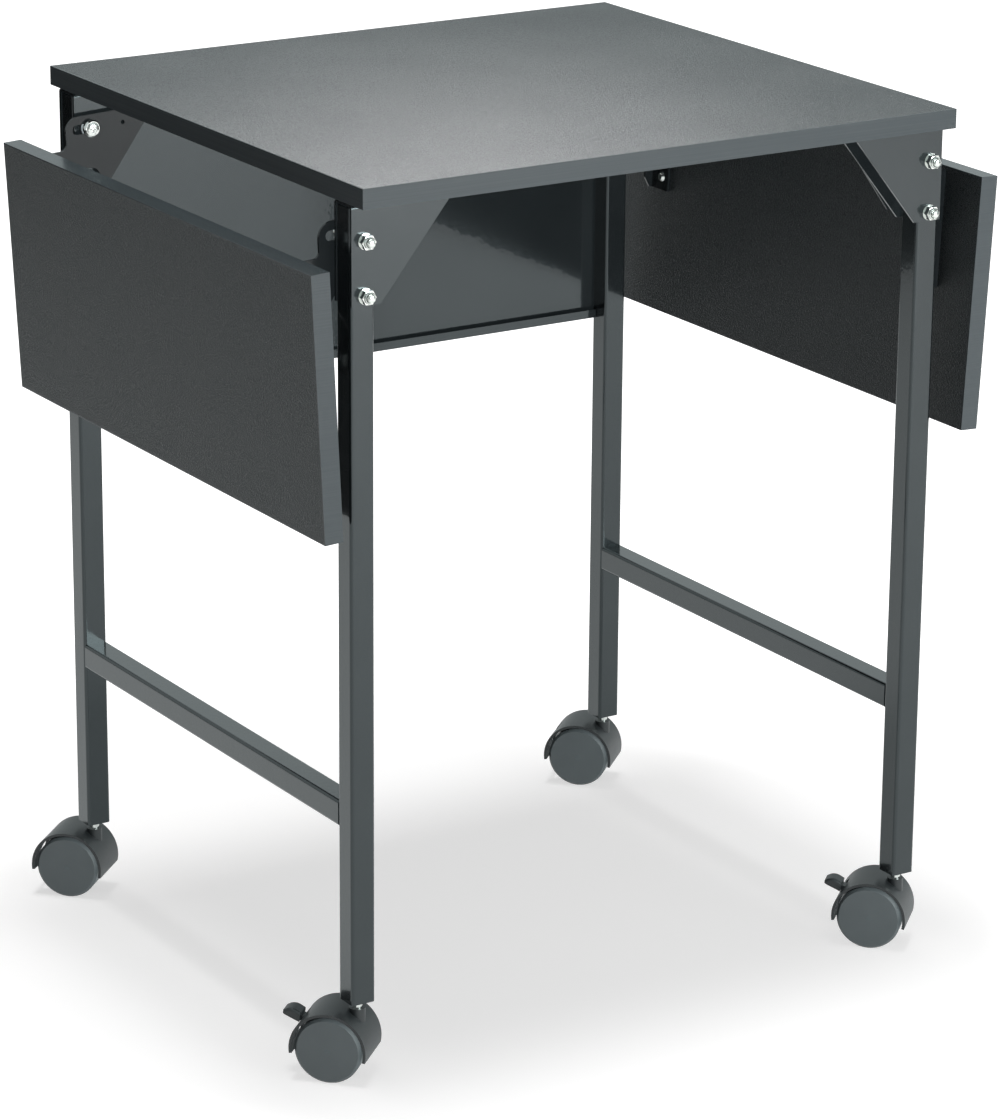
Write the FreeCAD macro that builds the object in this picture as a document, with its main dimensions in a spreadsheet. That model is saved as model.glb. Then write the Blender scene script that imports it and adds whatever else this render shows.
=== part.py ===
import FreeCAD, Part
import os
import re
import Sketcher
from FreeCAD import Rotation, Vector

# Typewriter table: a laminate top on four square tube legs, two drop leaves on pivoting plates,
# a sheet back panel and four twin-wheel casters, the front pair with brake levers.
# Millimetres. The origin is on the floor below the middle of the top, +X to the right,
# -Y to the front, +Z up. Both leaves hang.

SIZES = (
    ("table_height", 688, "floor to the top's upper face"),
    ("top_width", 520, "fixed top, side to side"),
    ("top_depth", 484, "fixed top and leaves, front to back"),
    ("board_thick", 15, "top and leaves"),
    ("band_thick", 1, "edge band round each board"),
    ("leaf_width", 200, "each leaf, across the table when raised"),
    ("leaf_gap", 1, "raised leaf to the top's edge"),
    ("leaf_tilt", 3, "degrees that a hanging leaf leans in at its lower edge"),
    ("leaf_lift", 11.7, "travel of the leaf plates along their slots"),
    ("tube_size", 20, "square tube of legs and rails"),
    ("tube_wall", 1.5, "wall of that tube"),
    ("tube_round", 2.5, "outer corner radius of that tube"),
    ("leg_setback", 18, "top's front and rear edges to the legs"),
    ("leg_head_gap", 1, "leg's upper end to the bracket over it"),
    ("rail_rise", 157, "leg's lower end to the rails' upper face"),
    ("bracket_thick", 2, "sheet of the corner brackets"),
    ("bracket_reach", 80, "corner bracket along the top"),
    ("bracket_drop", 74, "corner bracket down the leg"),
    ("bracket_foot", 24, "width of a cheek at its lower end"),
    ("bracket_bend", 3, "outer radius of the corner bracket's bends"),
    ("bolt_dia", 6, "frame bolts"),
    ("bolt_clear", 0.25, "radial room of a bolt in its holes"),
    ("bolt_inset", 11, "bolts from the leg's outer face"),
    ("bolt_drop", 27, "pivot bolt below the top's underside"),
    ("bolt_pitch", 40, "pivot bolt to leg bolt"),
    ("bolt_tail", 2.5, "rear bolt's end beyond its nut"),
    ("pivot_head_dia", 14, "pan head of a pivot bolt"),
    ("pivot_head_tall", 3.8, "pan head of a pivot bolt"),
    ("leg_head_dia", 12, "low head of a leg bolt"),
    ("leg_head_tall", 3.3, "low head of a leg bolt, clear under the leaf plate"),
    ("washer_dia", 12, "washers under the nuts"),
    ("washer_thick", 1.2, "washers under the nuts"),
    ("nut_flats", 10, "hexagon nuts across flats"),
    ("nut_tall", 5, "hexagon nuts"),
    ("seat_gap", 0.03, "radial room of a seated pin, screw or nut"),
    ("panel_thick", 1.2, "sheet of the back panel"),
    ("panel_drop", 251, "back panel below the top's underside"),
    ("hem_depth", 6, "panel's lower hem, bent forward"),
    ("hem_return", 7, "upturned lip of that hem"),
    ("hem_end_gap", 0.5, "hem to the legs' inner faces"),
    ("plate_thick", 2, "sheet of the leaf plates"),
    ("plate_gap", 4, "corner bracket's cheek to the leaf plate"),
    ("plate_back", 10.5, "leaf plate behind its slot"),
    ("plate_lead", 10, "leaf plate before its slot"),
    ("plate_deep", 96.6, "leaf plate from the leaf's inner face to its far end"),
    ("plate_nose", 12, "radius of the leaf plate's upper corner"),
    ("plate_waist", 54, "depth of the plate where its slope ends"),
    ("plate_strip", 9.4, "height of the plate's outer strip"),
    ("notch_radius", 8, "notch round the leg bolt"),
    ("notch_lip", 3, "plate beyond the notch's middle"),
    ("plate_shoulder", 5, "radius where the leaf plate meets its strip"),
    ("strip_start", 58, "where the strip's taper ends, from the leaf's hinge edge"),
    ("strip_chamfer", 8, "sloped end of the strip"),
    ("slot_width", 7.8, "slot that rides on the pivot bushing"),
    ("slot_play", 0.3, "slot beyond the bushing at each end of its travel"),
    ("locator_dia", 3.5, "hole that lands over the leg bolt when the leaf is up"),
    ("flange_start", 3, "leaf plate's flange from the leaf's hinge edge"),
    ("flange_end", 96, "leaf plate's flange from the leaf's hinge edge"),
    ("flange_width", 25, "leaf plate's flange across the leaf"),
    ("bushing_dia", 7.7, "sleeve of the pivot bushing"),
    ("bushing_flange_dia", 14, "flange of the pivot bushing"),
    ("running_gap", 0.05, "radial room of a part that turns on a pin"),
    ("side_gap", 0.2, "room beside a part that turns or slides"),
    ("screw_dia", 3.5, "board screws"),
    ("screw_length", 12, "board screws under the head"),
    ("screw_head_dia", 8, "board screws"),
    ("screw_head_tall", 2.2, "board screws"),
    ("web_screw_near", 35, "first bracket screw from the leg's outer face"),
    ("web_screw_pitch", 27, "between a bracket's two screws"),
    ("leaf_screw_near", 30, "first leaf screw from the leaf's hinge edge"),
    ("leaf_screw_pitch", 55, "between a leaf plate's two screws"),
    ("leaf_screw_aside", 16, "leaf screws from the plate's outer face"),
    ("wheel_radius", 26, "caster wheels"),
    ("wheel_width", 14.6, "each of a caster's two wheels"),
    ("wheel_crown", 0.8, "dome of a wheel's outer face"),
    ("wheel_bevel", 2, "bevelled outer edge of a wheel"),
    ("wheel_space", 13.4, "between a caster's two wheels"),
    ("hood_clear", 1.8, "wheel to the hood's inside"),
    ("hood_wall", 2.2, "hood shell"),
    ("hood_width", 43, "hood along the axle"),
    ("hood_dip", 12, "degrees that the hood's stem side ends below the axle"),
    ("hood_tail", 8, "degrees that the hood's trailing side ends below the axle"),
    ("web_thick", 3, "wall between the wheels"),
    ("web_start", 62, "degrees above the axle where that wall starts, on the trailing side"),
    ("caster_trail", 17.3, "axle behind the stem"),
    ("caster_swivel", 43.2, "degrees that the casters are turned"),
    ("axle_dia", 5, "wheel axle"),
    ("axle_length", 34, "wheel axle"),
    ("axle_boss_dia", 11, "hub that carries the axle"),
    ("stem_dia", 8, "caster stem"),
    ("stem_grip", 17, "stem in the housing's boss"),
    ("stem_show", 6, "stem between housing and leg"),
    ("stem_tall", 32, "stem in the leg"),
    ("stem_boss_dia", 12.6, "boss that carries the stem"),
    ("boss_floor", 3, "boss below the stem's lower end"),
    ("socket_length", 36, "plastic socket in the leg's end"),
    ("window_low", 8, "degrees above the axle where the hood's window starts"),
    ("window_high", 46, "degrees above the axle where it ends"),
    ("window_width", 17, "window along the axle"),
    ("brake_pivot_reach", 20, "brake lever's pin from the axle"),
    ("brake_pivot_rise", 50, "degrees of that pin above the axle"),
    ("brake_tilt", 9.5, "degrees that the lever's arm rises"),
    ("brake_pin_dia", 3, "brake lever's pin"),
    ("brake_hub_dia", 7, "lever's hub and the ears beside it"),
    ("brake_arm_thick", 4, "lever's arm"),
    ("brake_arm_width", 8, "lever's arm along the axle"),
    ("ear_thick", 1.8, "ears that hold the pin"),
    ("ear_gap", 0.4, "lever to each ear"),
    ("arm_length", 16.5, "lever's pin to the arm's end inside the paddle"),
    ("paddle_start", 13, "lever's pin to the paddle"),
    ("paddle_length", 14, "paddle"),
    ("paddle_peak", 8.4, "paddle's start to its crest"),
    ("paddle_width", 15, "paddle along the axle"),
    ("paddle_root", 5, "paddle's height above the arm's middle, at its start"),
    ("paddle_crest", 8, "paddle's greatest height"),
    ("paddle_tip", 3.5, "paddle's height at its end"),
    ("crest_round", 9, "radius over the paddle's crest"),
    ("paddle_round", 2.5, "radius of the paddle's side corners"),
)

# Places that follow from the sizes.
UNDERSIDE = "(table_height - board_thick)"
HOOD_INSIDE = "(wheel_radius + hood_clear)"
HOOD_OUTSIDE = f"({HOOD_INSIDE} + hood_wall)"
BOSS_TOP = f"(wheel_radius + {HOOD_OUTSIDE})"
LEG_END = f"({BOSS_TOP} + stem_show)"
LEG_TOP = f"({UNDERSIDE} - bracket_thick - leg_head_gap)"
LEG_X = "(top_width / 2 - tube_size / 2)"
LEG_Y = "(top_depth / 2 - leg_setback - tube_size / 2)"
LEG_INNER_Y = f"({LEG_Y} - tube_size / 2)"
LEG_OUTER_Y = f"({LEG_Y} + tube_size / 2)"
BOLT_X = "(top_width / 2 - bolt_inset)"
PIVOT_Z = f"({UNDERSIDE} - bolt_drop)"
LEG_BOLT_Z = f"({PIVOT_Z} - bolt_pitch)"
BOLT_HOLE = "(bolt_dia / 2 + bolt_clear)"
SLOT_U = "(-(bolt_inset + leaf_gap))"
SLOT_REST = "(bolt_drop + leaf_lift)"
PLATE_OFF = "(bracket_thick + plate_gap)"
NUT_FRONT_Y = f"(-({LEG_OUTER_Y} + bracket_thick))"
NUT_REAR_Y = f"({LEG_OUTER_Y} + panel_thick + bracket_thick)"
CORNERS = {
    "front_left": (-1, -1),
    "front_right": (1, -1),
    "rear_left": (-1, 1),
    "rear_right": (1, 1),
}
BRAKED = ("front_left", "front_right")

doc = FreeCAD.newDocument("typewriter_table")
sheet = doc.addObject("Spreadsheet::Sheet", "Sizes")
nodes = {}


def fill_sheet():
    """One row per size: its alias, its value and what it measures."""
    for row, (alias, value, note) in enumerate(SIZES, start=1):
        sheet.set(f"A{row}", alias)
        sheet.set(f"B{row}", str(value))
        sheet.set(f"C{row}", note)
        sheet.setAlias(f"B{row}", alias)
    doc.recompute()


def bind(thing, prop, expression):
    """Tie a property to an expression of sheet sizes, whose names all hold an underscore."""
    thing.setExpression(prop, re.sub(r"\b[a-z]+(?:_[a-z]+)+\b", r"Sizes.\g<0>", expression))


def place(thing, x="0", y="0", z="0", axis=Vector(0, 0, 1), angle="0"):
    """Set a Placement whose base and angle follow the sheet."""
    thing.Placement.Rotation = Rotation(axis, 1)
    bind(thing, "Placement.Rotation.Angle", angle)
    for letter, expression in zip("xyz", (x, y, z)):
        bind(thing, f"Placement.Base.{letter}", expression)


def new_body(name):
    """An empty body whose label is the node's name."""
    made = doc.addObject("PartDesign::Body", name)
    made.Label = name
    return made


def new_sketch(body, role, offset="0"):
    """A sketch on one of the body's origin planes, moved along the plane's normal."""
    made = body.newObject("Sketcher::SketchObject", f"{body.Name}_sketch")
    plane = next(each for each in body.Origin.OriginFeatures if each.Role == role)
    made.AttachmentSupport = [(plane, "")]
    made.MapMode = "FlatFace"
    bind(made, "AttachmentOffset.Base.z", offset)
    return made


def tie(sketch, kind, geometry, point, expression):
    """Hold one coordinate of a sketch point at an expression."""
    index = sketch.addConstraint(Sketcher.Constraint(kind, -1, 1, geometry, point, 1.0))
    bind(sketch, f"Constraints[{index}]", expression)


def tie_point(sketch, geometry, point, x, y):
    tie(sketch, "DistanceX", geometry, point, x)
    tie(sketch, "DistanceY", geometry, point, y)


def draw_outline(sketch, corners):
    """A closed outline of straight edges through the given corners."""
    count = len(corners)
    first = sketch.GeometryCount
    turn = Rotation(Vector(0, 0, 1), 360 / count)
    spot = Vector(1, 0, 0)
    for _ in corners:
        following = turn.multVec(spot)
        sketch.addGeometry(Part.LineSegment(spot, following))
        spot = following
    for index in range(count):
        edge = first + index
        neighbour = first + (index + 1) % count
        sketch.addConstraint(Sketcher.Constraint("Coincident", edge, 2, neighbour, 1))
    for index, (x, y) in enumerate(corners):
        tie_point(sketch, first + index, 1, x, y)


def draw_box(sketch, x_low, x_high, y_low, y_high):
    """A rectangle with sides along the sketch's axes."""
    draw_outline(sketch, [(x_low, y_low), (x_high, y_low), (x_high, y_high), (x_low, y_high)])


def draw_circle(sketch, x, y, radius):
    made = sketch.addGeometry(Part.Circle(Vector(0, 0, 0), Vector(0, 0, 1), 1))
    tie_point(sketch, made, 3, x, y)
    index = sketch.addConstraint(Sketcher.Constraint("Radius", made, 1.0))
    bind(sketch, f"Constraints[{index}]", radius)


def add_feature(kind, sketch, length, reverse=False, both_ways=False):
    """A Pad or Pocket of a sketch in its own body."""
    body = sketch.getParentGeoFeatureGroup()
    made = body.newObject(f"PartDesign::{kind}", f"{body.Name}_{kind.lower()}")
    made.Profile = sketch
    bind(made, "Length", length)
    made.Reversed = reverse
    if both_ways:
        made.SideType = "Symmetric"
    sketch.Visibility = False
    return made


def pad(sketch, length, reverse=False, both_ways=False):
    return add_feature("Pad", sketch, length, reverse, both_ways)


def pocket(sketch, length, reverse=False, both_ways=False):
    """A Pocket that has to take something away."""
    body = sketch.getParentGeoFeatureGroup()
    doc.recompute()
    before = body.Shape.Volume
    made = add_feature("Pocket", sketch, length, reverse, both_ways)
    doc.recompute()
    if made.Shape.Volume >= before:
        raise RuntimeError(f"{made.Name} cuts nothing")
    return made


def spin(sketch, axis):
    """A full Revolution about the sketch's H_Axis or V_Axis."""
    body = sketch.getParentGeoFeatureGroup()
    made = body.newObject("PartDesign::Revolution", f"{body.Name}_revolution")
    made.Profile = sketch
    made.ReferenceAxis = (sketch, [axis])
    made.Angle = 360
    return made


def pad_plate(body, y_low, y_high):
    """A sketch on the XZ plane for what runs from y_low to y_high, with its run's length."""
    return new_sketch(body, "XZ_Plane", f"-({y_low})"), f"({y_high}) - ({y_low})"


def edges_where(feature, keep):
    """Names of a feature's edges that pass a test."""
    doc.recompute()
    edges = enumerate(feature.Shape.Edges, start=1)
    return [f"Edge{index}" for index, edge in edges if keep(edge)]


def runs_along(edge, direction):
    """True for a straight edge parallel to a direction."""
    if edge.Curve.TypeId != "Part::GeomLine":
        return False
    return edge.tangentAt(edge.FirstParameter).cross(direction).Length < 1e-6


def upright_edges(feature, x, z):
    """Names of the edges along Y that stand at one place of the XZ plane."""

    def stands_there(edge):
        spot = edge.CenterOfMass
        return runs_along(edge, Vector(0, 1, 0)) and Vector(spot.x - x, 0, spot.z - z).Length < 1e-3

    return edges_where(feature, stands_there)


def size(alias):
    return float(sheet.get(alias))


def dress(kind, feature, names, prop, expression):
    """A Fillet or Chamfer on the named edges."""
    body = feature.getParentGeoFeatureGroup()
    made = body.newObject(f"PartDesign::{kind}", f"{body.Name}_{kind.lower()}")
    made.Base = (feature, names)
    bind(made, prop, expression)
    return made


def mirror(name, source, normal):
    """The other hand of a piece, across a plane through the origin."""
    made = doc.addObject("Part::Mirroring", name)
    made.Label = name
    made.Source = source
    made.Normal = normal
    return made


def mirror_left(right_name):
    """Give a right-hand node its left-hand twin."""
    name = right_name.replace("right", "left")
    nodes[name] = mirror(name, nodes[right_name], Vector(1, 0, 0))


def scatter(name, pattern, places):
    """One node of separate copies: each place is x, y, z and a turn about Z in degrees."""
    copies = []
    for x, y, z, turn in places:
        copy = doc.addObject("App::Link", f"{name}_copy")
        copy.LinkedObject = pattern
        place(copy, x, y, z, angle=turn)
        copies.append(copy)
    made = doc.addObject("Part::Compound", name)
    made.Label = name
    made.Links = copies
    return made


def square_tube(body, role, x, y, length, reverse):
    """Square tube with rounded corners, around a point of the given plane."""
    section = new_sketch(body, role)
    half = "tube_size / 2"
    bore = "(tube_size / 2 - tube_wall)"
    draw_box(section, f"{x} - {half}", f"{x} + {half}", f"{y} - {half}", f"{y} + {half}")
    draw_box(section, f"{x} - {bore}", f"{x} + {bore}", f"{y} - {bore}", f"{y} + {bore}")
    tube = pad(section, length, reverse)
    doc.recompute()
    along = Vector(0, 0, 1) if role == "XY_Plane" else Vector(0, 1, 0)
    centre = tube.Shape.BoundBox.Center
    reach = (size("tube_size") - size("tube_wall")) / 2

    def outer(edge):
        away = edge.CenterOfMass - centre
        across = away - along * away.dot(along)
        return runs_along(edge, along) and max(abs(value) for value in across) > reach

    return dress("Fillet", tube, edges_where(tube, outer), "Radius", "tube_round")


def make_board(name, x_low, x_high):
    """A laminate board and the band round its edges, from z = 0 up."""
    core = new_body(f"{name}_board")
    section = new_sketch(core, "XY_Plane")
    half = "top_depth / 2"
    inside = (f"{x_low} + band_thick", f"{x_high} - band_thick",
              f"-{half} + band_thick", f"{half} - band_thick")
    draw_box(section, *inside)
    pad(section, "board_thick")
    band = new_body(f"{name}_edge_band")
    ring = new_sketch(band, "XY_Plane")
    draw_box(ring, x_low, x_high, f"-{half}", half)
    draw_box(ring, *inside)
    pad(ring, "board_thick")
    nodes[core.Label] = core
    nodes[band.Label] = band
    return core, band


def bore_pilots(core, spots):
    """Pilot holes for board screws in a board's lower face."""
    pilots = new_sketch(core, "XY_Plane")
    for x, y in spots:
        draw_circle(pilots, x, y, "screw_dia / 2 + seat_gap")
    pocket(pilots, "screw_length - bracket_thick + side_gap", reverse=True)


def web_screw_spots():
    """Places of the bracket screws under the top."""
    near = "(top_width / 2 - web_screw_near)"
    spots = []
    for side in (-1, 1):
        for end in (-1, 1):
            for step in (0, 1):
                x = f"{side} * ({near} - {step} * web_screw_pitch)"
                spots.append((x, f"{end} * {LEG_Y}"))
    return spots


def leaf_screw_spots():
    """Places of a leaf's screws, in the leaf's own frame."""
    aside = f"({LEG_INNER_Y} - {PLATE_OFF} - leaf_screw_aside)"
    return [
        (f"leaf_screw_near + {step} * leaf_screw_pitch", f"{end} * {aside}")
        for end in (-1, 1)
        for step in (0, 1)
    ]


def make_top():
    core, band = make_board("top", "-top_width / 2", "top_width / 2")
    bore_pilots(core, web_screw_spots())
    for piece in (core, band):
        place(piece, z=UNDERSIDE)


def make_legs():
    """Four square tube legs with two bolt holes each."""
    leg = new_body("rear_right_leg")
    tube = square_tube(leg, "XY_Plane", "0", "0", f"{LEG_TOP} - {LEG_END}", False)
    holes = new_sketch(leg, "XZ_Plane")
    for height in (PIVOT_Z, LEG_BOLT_Z):
        draw_circle(holes, f"{BOLT_X} - {LEG_X}", f"{height} - {LEG_END}", BOLT_HOLE)
    pocket(holes, "2 * tube_size", both_ways=True)
    place(leg, LEG_X, LEG_Y, LEG_END)
    nodes["rear_right_leg"] = leg
    nodes["front_right_leg"] = mirror("front_right_leg", leg, Vector(0, 1, 0))
    mirror_left("rear_right_leg")
    mirror_left("front_right_leg")


def make_rails():
    """A rail from leg to leg on each side, flush with their outer faces."""
    rail = new_body("right_side_rail")
    square_tube(rail, "XZ_Plane", "0", "0", f"2 * {LEG_INNER_Y}", False)
    place(rail, LEG_X, LEG_INNER_Y, f"{LEG_END} + rail_rise - tube_size / 2")
    nodes["right_side_rail"] = rail
    mirror_left("right_side_rail")


def make_corner_bracket(name, end, behind):
    """Folded sheet: a web under the top and a cheek on each side of the leg.

    end is 1 at the rear and -1 at the front; behind is what else the outer cheek clamps.
    """
    body = new_body(name)
    inner = "(tube_size / 2 + bracket_thick)"
    outer = f"(tube_size / 2 + {behind} + bracket_thick)"
    y_low, y_high = (f"-{inner}", outer) if end > 0 else (f"-{outer}", inner)
    profile, run = pad_plate(body, y_low, y_high)
    draw_outline(profile, [
        ("0", "0"),
        ("-bracket_reach", "0"),
        ("-bracket_reach", "-bracket_thick - bracket_bend"),
        ("-bracket_foot", "-bracket_drop"),
        ("0", "-bracket_drop"),
    ])
    block = pad(profile, run, reverse=True)
    along = Vector(1, 0, 0)
    bends = edges_where(block, lambda edge: runs_along(edge, along) and edge.CenterOfMass.z > -1e-6)
    dress("Fillet", block, bends, "Radius", "bracket_bend")
    gap, gap_run = pad_plate(body, f"{y_low} + bracket_thick", f"{y_high} - bracket_thick")
    draw_box(gap, "-2 * bracket_reach", "bracket_reach", "-2 * bracket_drop", "-bracket_thick")
    opened = pocket(gap, gap_run)
    level = -size("bracket_thick")

    def inner_bend(edge):
        return runs_along(edge, along) and abs(edge.CenterOfMass.z - level) < 1e-6

    dress("Fillet", opened, edges_where(opened, inner_bend), "Radius",
          "bracket_bend - bracket_thick")
    bolts = new_sketch(body, "XZ_Plane")
    for drop in ("bolt_drop", "bolt_drop + bolt_pitch"):
        draw_circle(bolts, "-bolt_inset", f"-({drop})", BOLT_HOLE)
    pocket(bolts, "4 * tube_size", both_ways=True)
    screws = new_sketch(body, "XY_Plane")
    for step in (0, 1):
        draw_circle(screws, f"-(web_screw_near + {step} * web_screw_pitch)", "0",
                    "screw_dia / 2 + bolt_clear")
    pocket(screws, "4 * bracket_thick", both_ways=True)
    place(body, "top_width / 2", f"{end} * {LEG_Y}", UNDERSIDE)
    nodes[name] = body
    mirror_left(name)


def make_back_panel():
    """Sheet behind the rear legs, with a hem bent forward and up along its lower edge."""
    panel = new_body("back_panel")
    head = "-(bracket_thick + leg_head_gap)"
    hem = new_sketch(panel, "YZ_Plane")
    draw_outline(hem, [
        ("0", head),
        ("panel_thick", head),
        ("panel_thick", "-panel_drop"),
        ("-hem_depth", "-panel_drop"),
        ("-hem_depth", "hem_return - panel_drop"),
        ("panel_thick - hem_depth", "hem_return - panel_drop"),
        ("panel_thick - hem_depth", "panel_thick - panel_drop"),
        ("0", "panel_thick - panel_drop"),
    ])
    pad(hem, "top_width - 2 * tube_size - 2 * hem_end_gap", both_ways=True)
    face, run = pad_plate(panel, "0", "panel_thick")
    draw_box(face, "-top_width / 2", "top_width / 2", "-panel_drop", head)
    pad(face, run, reverse=True)
    holes = new_sketch(panel, "XZ_Plane")
    for side in (-1, 1):
        for drop in ("bolt_drop", "bolt_drop + bolt_pitch"):
            draw_circle(holes, f"{side} * {BOLT_X}", f"-({drop})", BOLT_HOLE)
    pocket(holes, "4 * panel_thick", both_ways=True)
    place(panel, y=LEG_OUTER_Y, z=UNDERSIDE)
    nodes["back_panel"] = panel


def hang_leaf(piece):
    """Place a piece of the right leaf, drawn as if raised, at the leaf's hanging pose.

    The frame's origin is the hinge edge of the leaf's inner face, X across the leaf.
    """
    lean = "(leaf_tilt * 1deg)"
    x = f"{BOLT_X} + {SLOT_U} * sin{lean} + {SLOT_REST} * cos{lean}"
    z = f"{PIVOT_Z} + {SLOT_U} * cos{lean} - {SLOT_REST} * sin{lean}"
    place(piece, x, "0", z, Vector(0, 1, 0), "90 + leaf_tilt")


def make_leaf_bracket():
    """Leaf plate: a folded sheet that turns and slides on the pivot bushing.

    Drawn with the leaf raised, so the plate hangs below z = 0 and the slot is upright.
    """
    body = new_body("rear_right_leaf_bracket")
    y_outer = f"({LEG_INNER_Y} - {PLATE_OFF})"
    plate, run = pad_plate(body, f"{y_outer} - plate_thick", y_outer)
    back = f"({SLOT_U} - plate_back)"
    notch_u = f"({SLOT_U} + bolt_pitch * cos(leaf_tilt * 1deg))"
    notch_deep = f"({SLOT_REST} - bolt_pitch * sin(leaf_tilt * 1deg))"
    lip = f"({notch_u} + notch_lip)"
    draw_outline(plate, [
        (back, "plate_lead - bolt_drop"),
        ("flange_start", "plate_lead - bolt_drop"),
        ("flange_start", "0"),
        ("flange_end", "0"),
        ("flange_end", "-plate_strip / 2"),
        ("flange_end - strip_chamfer", "-plate_strip"),
        ("strip_start", "-plate_strip"),
        (lip, f"notch_radius - {notch_deep}"),
        (lip, "-plate_waist"),
        (back, "-plate_deep"),
    ])
    sheet_metal = pad(plate, run, reverse=True)
    nose = (-size("bolt_inset") - size("leaf_gap") - size("plate_back"),
            size("plate_lead") - size("bolt_drop"))
    shoulder = (size("flange_start"), nose[1])
    rounded = dress("Fillet", sheet_metal, upright_edges(sheet_metal, *nose), "Radius", "plate_nose")
    dress("Fillet", rounded, upright_edges(rounded, *shoulder), "Radius", "plate_shoulder")
    flange = new_sketch(body, "XY_Plane")
    draw_box(flange, "flange_start", "flange_end", f"{y_outer} - flange_width", y_outer)
    pad(flange, "plate_thick", reverse=True)
    slot_low = f"(-{SLOT_REST} - slot_play)"
    slot_high = "(slot_play - bolt_drop)"
    openings = new_sketch(body, "XZ_Plane", f"-({y_outer})")
    draw_box(openings, f"{SLOT_U} - slot_width / 2", f"{SLOT_U} + slot_width / 2", slot_low, slot_high)
    draw_circle(openings, SLOT_U, "-(bolt_drop + bolt_pitch)", "locator_dia / 2")
    pocket(openings, "2 * plate_thick", reverse=True)
    round_cuts = new_sketch(body, "XZ_Plane", f"-({y_outer})")
    for level in (slot_low, slot_high):
        draw_circle(round_cuts, SLOT_U, level, "slot_width / 2")
    draw_circle(round_cuts, notch_u, f"-{notch_deep}", "notch_radius")
    pocket(round_cuts, "2 * plate_thick", reverse=True)
    screws = new_sketch(body, "XY_Plane")
    for step in (0, 1):
        draw_circle(screws, f"leaf_screw_near + {step} * leaf_screw_pitch",
                    f"{y_outer} - leaf_screw_aside", "screw_dia / 2 + bolt_clear")
    pocket(screws, "4 * plate_thick", both_ways=True)
    hang_leaf(body)
    nodes[body.Label] = body
    nodes["front_right_leaf_bracket"] = mirror("front_right_leaf_bracket", body, Vector(0, 1, 0))
    mirror_left("rear_right_leaf_bracket")
    mirror_left("front_right_leaf_bracket")


def make_leaves():
    """Both leaves: board, edge band, two plates and their screws."""
    core, band = make_board("right_leaf", "0", "leaf_width")
    bore_pilots(core, leaf_screw_spots())
    for piece in (core, band):
        hang_leaf(piece)
        mirror_left(piece.Label)
    make_leaf_bracket()
    spots = [(x, y, "-plate_thick", "0") for x, y in leaf_screw_spots()]
    nodes["right_leaf_screws"] = scatter("right_leaf_screws", screw_pattern, spots)
    hang_leaf(nodes["right_leaf_screws"])
    mirror_left("right_leaf_screws")


def make_bolt(name, head_dia, head_tall, head_seat):
    """Bolt along Y: its head faces the table's middle and starts head_seat off the leg."""
    body = new_body(name)
    tail = "(tube_size + panel_thick + bracket_thick + washer_thick + nut_tall + bolt_tail)"
    shank, run = pad_plate(body, f"-{head_seat}", tail)
    draw_circle(shank, "0", "0", "bolt_dia / 2")
    pad(shank, run, reverse=True)
    head, head_run = pad_plate(body, f"-{head_seat} - {head_tall}", f"-{head_seat}")
    draw_circle(head, "0", "0", f"{head_dia} / 2")
    top = pad(head, head_run, reverse=True)
    doc.recompute()
    face = top.Shape.BoundBox.YMin
    rim = edges_where(top, lambda edge: abs(edge.CenterOfMass.y - face) < 1e-6)
    dress("Chamfer", top, rim, "Size", f"{head_tall} / 3")
    return body


def bolt_places(z):
    """The four corners, for a pattern whose local Y points away from the table's middle."""
    return [
        (f"{side} * {BOLT_X}", f"{end} * {LEG_INNER_Y}", z, "0" if end > 0 else "180")
        for side in (-1, 1)
        for end in (-1, 1)
    ]


def nut_places():
    return [
        (f"{side} * {BOLT_X}", y, z, turn)
        for side in (-1, 1)
        for y, turn in ((NUT_FRONT_Y, "180"), (NUT_REAR_Y, "0"))
        for z in (PIVOT_Z, LEG_BOLT_Z)
    ]


def make_washer_pattern():
    body = new_body("washer_pattern")
    ring, run = pad_plate(body, "0", "washer_thick")
    draw_circle(ring, "0", "0", "washer_dia / 2")
    draw_circle(ring, "0", "0", BOLT_HOLE)
    pad(ring, run, reverse=True)
    return body


def make_nut_pattern():
    """Hexagon nut that starts where the washer ends."""
    body = new_body("nut_pattern")
    hexagon, run = pad_plate(body, "washer_thick", "washer_thick + nut_tall")
    draw_outline(hexagon, [
        (f"nut_flats / 2 / cos(30deg) * cos({60 * step}deg)",
         f"nut_flats / 2 / cos(30deg) * sin({60 * step}deg)")
        for step in range(6)
    ])
    draw_circle(hexagon, "0", "0", "bolt_dia / 2 + seat_gap")
    pad(hexagon, run, reverse=True)
    return body


def make_bushing_pattern():
    """Flanged sleeve on the pivot bolt: the flange spaces the plate, the sleeve guides its slot."""
    body = new_body("bushing_pattern")
    bore = "bolt_dia / 2 + running_gap"
    flange, run = pad_plate(body, f"-({PLATE_OFF} - side_gap)", "-(bracket_thick + side_gap)")
    draw_circle(flange, "0", "0", "bushing_flange_dia / 2")
    draw_circle(flange, "0", "0", bore)
    pad(flange, run, reverse=True)
    sleeve, sleeve_run = pad_plate(body, f"-({PLATE_OFF} + plate_thick + side_gap)",
                                   f"-({PLATE_OFF} - side_gap)")
    draw_circle(sleeve, "0", "0", "bushing_dia / 2")
    draw_circle(sleeve, "0", "0", bore)
    pad(sleeve, sleeve_run, reverse=True)
    return body


def make_screw_pattern():
    """Board screw that points up, its head's seat at z = 0."""
    body = new_body("screw_pattern")
    half = new_sketch(body, "XZ_Plane")
    draw_outline(half, [
        ("0", "-screw_head_tall"),
        ("screw_head_dia / 3", "-screw_head_tall"),
        ("screw_head_dia / 2", "0"),
        ("screw_dia / 2", "0"),
        ("screw_dia / 2", "screw_length"),
        ("0", "screw_length"),
    ])
    spin(half, "V_Axis")
    return body


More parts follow.
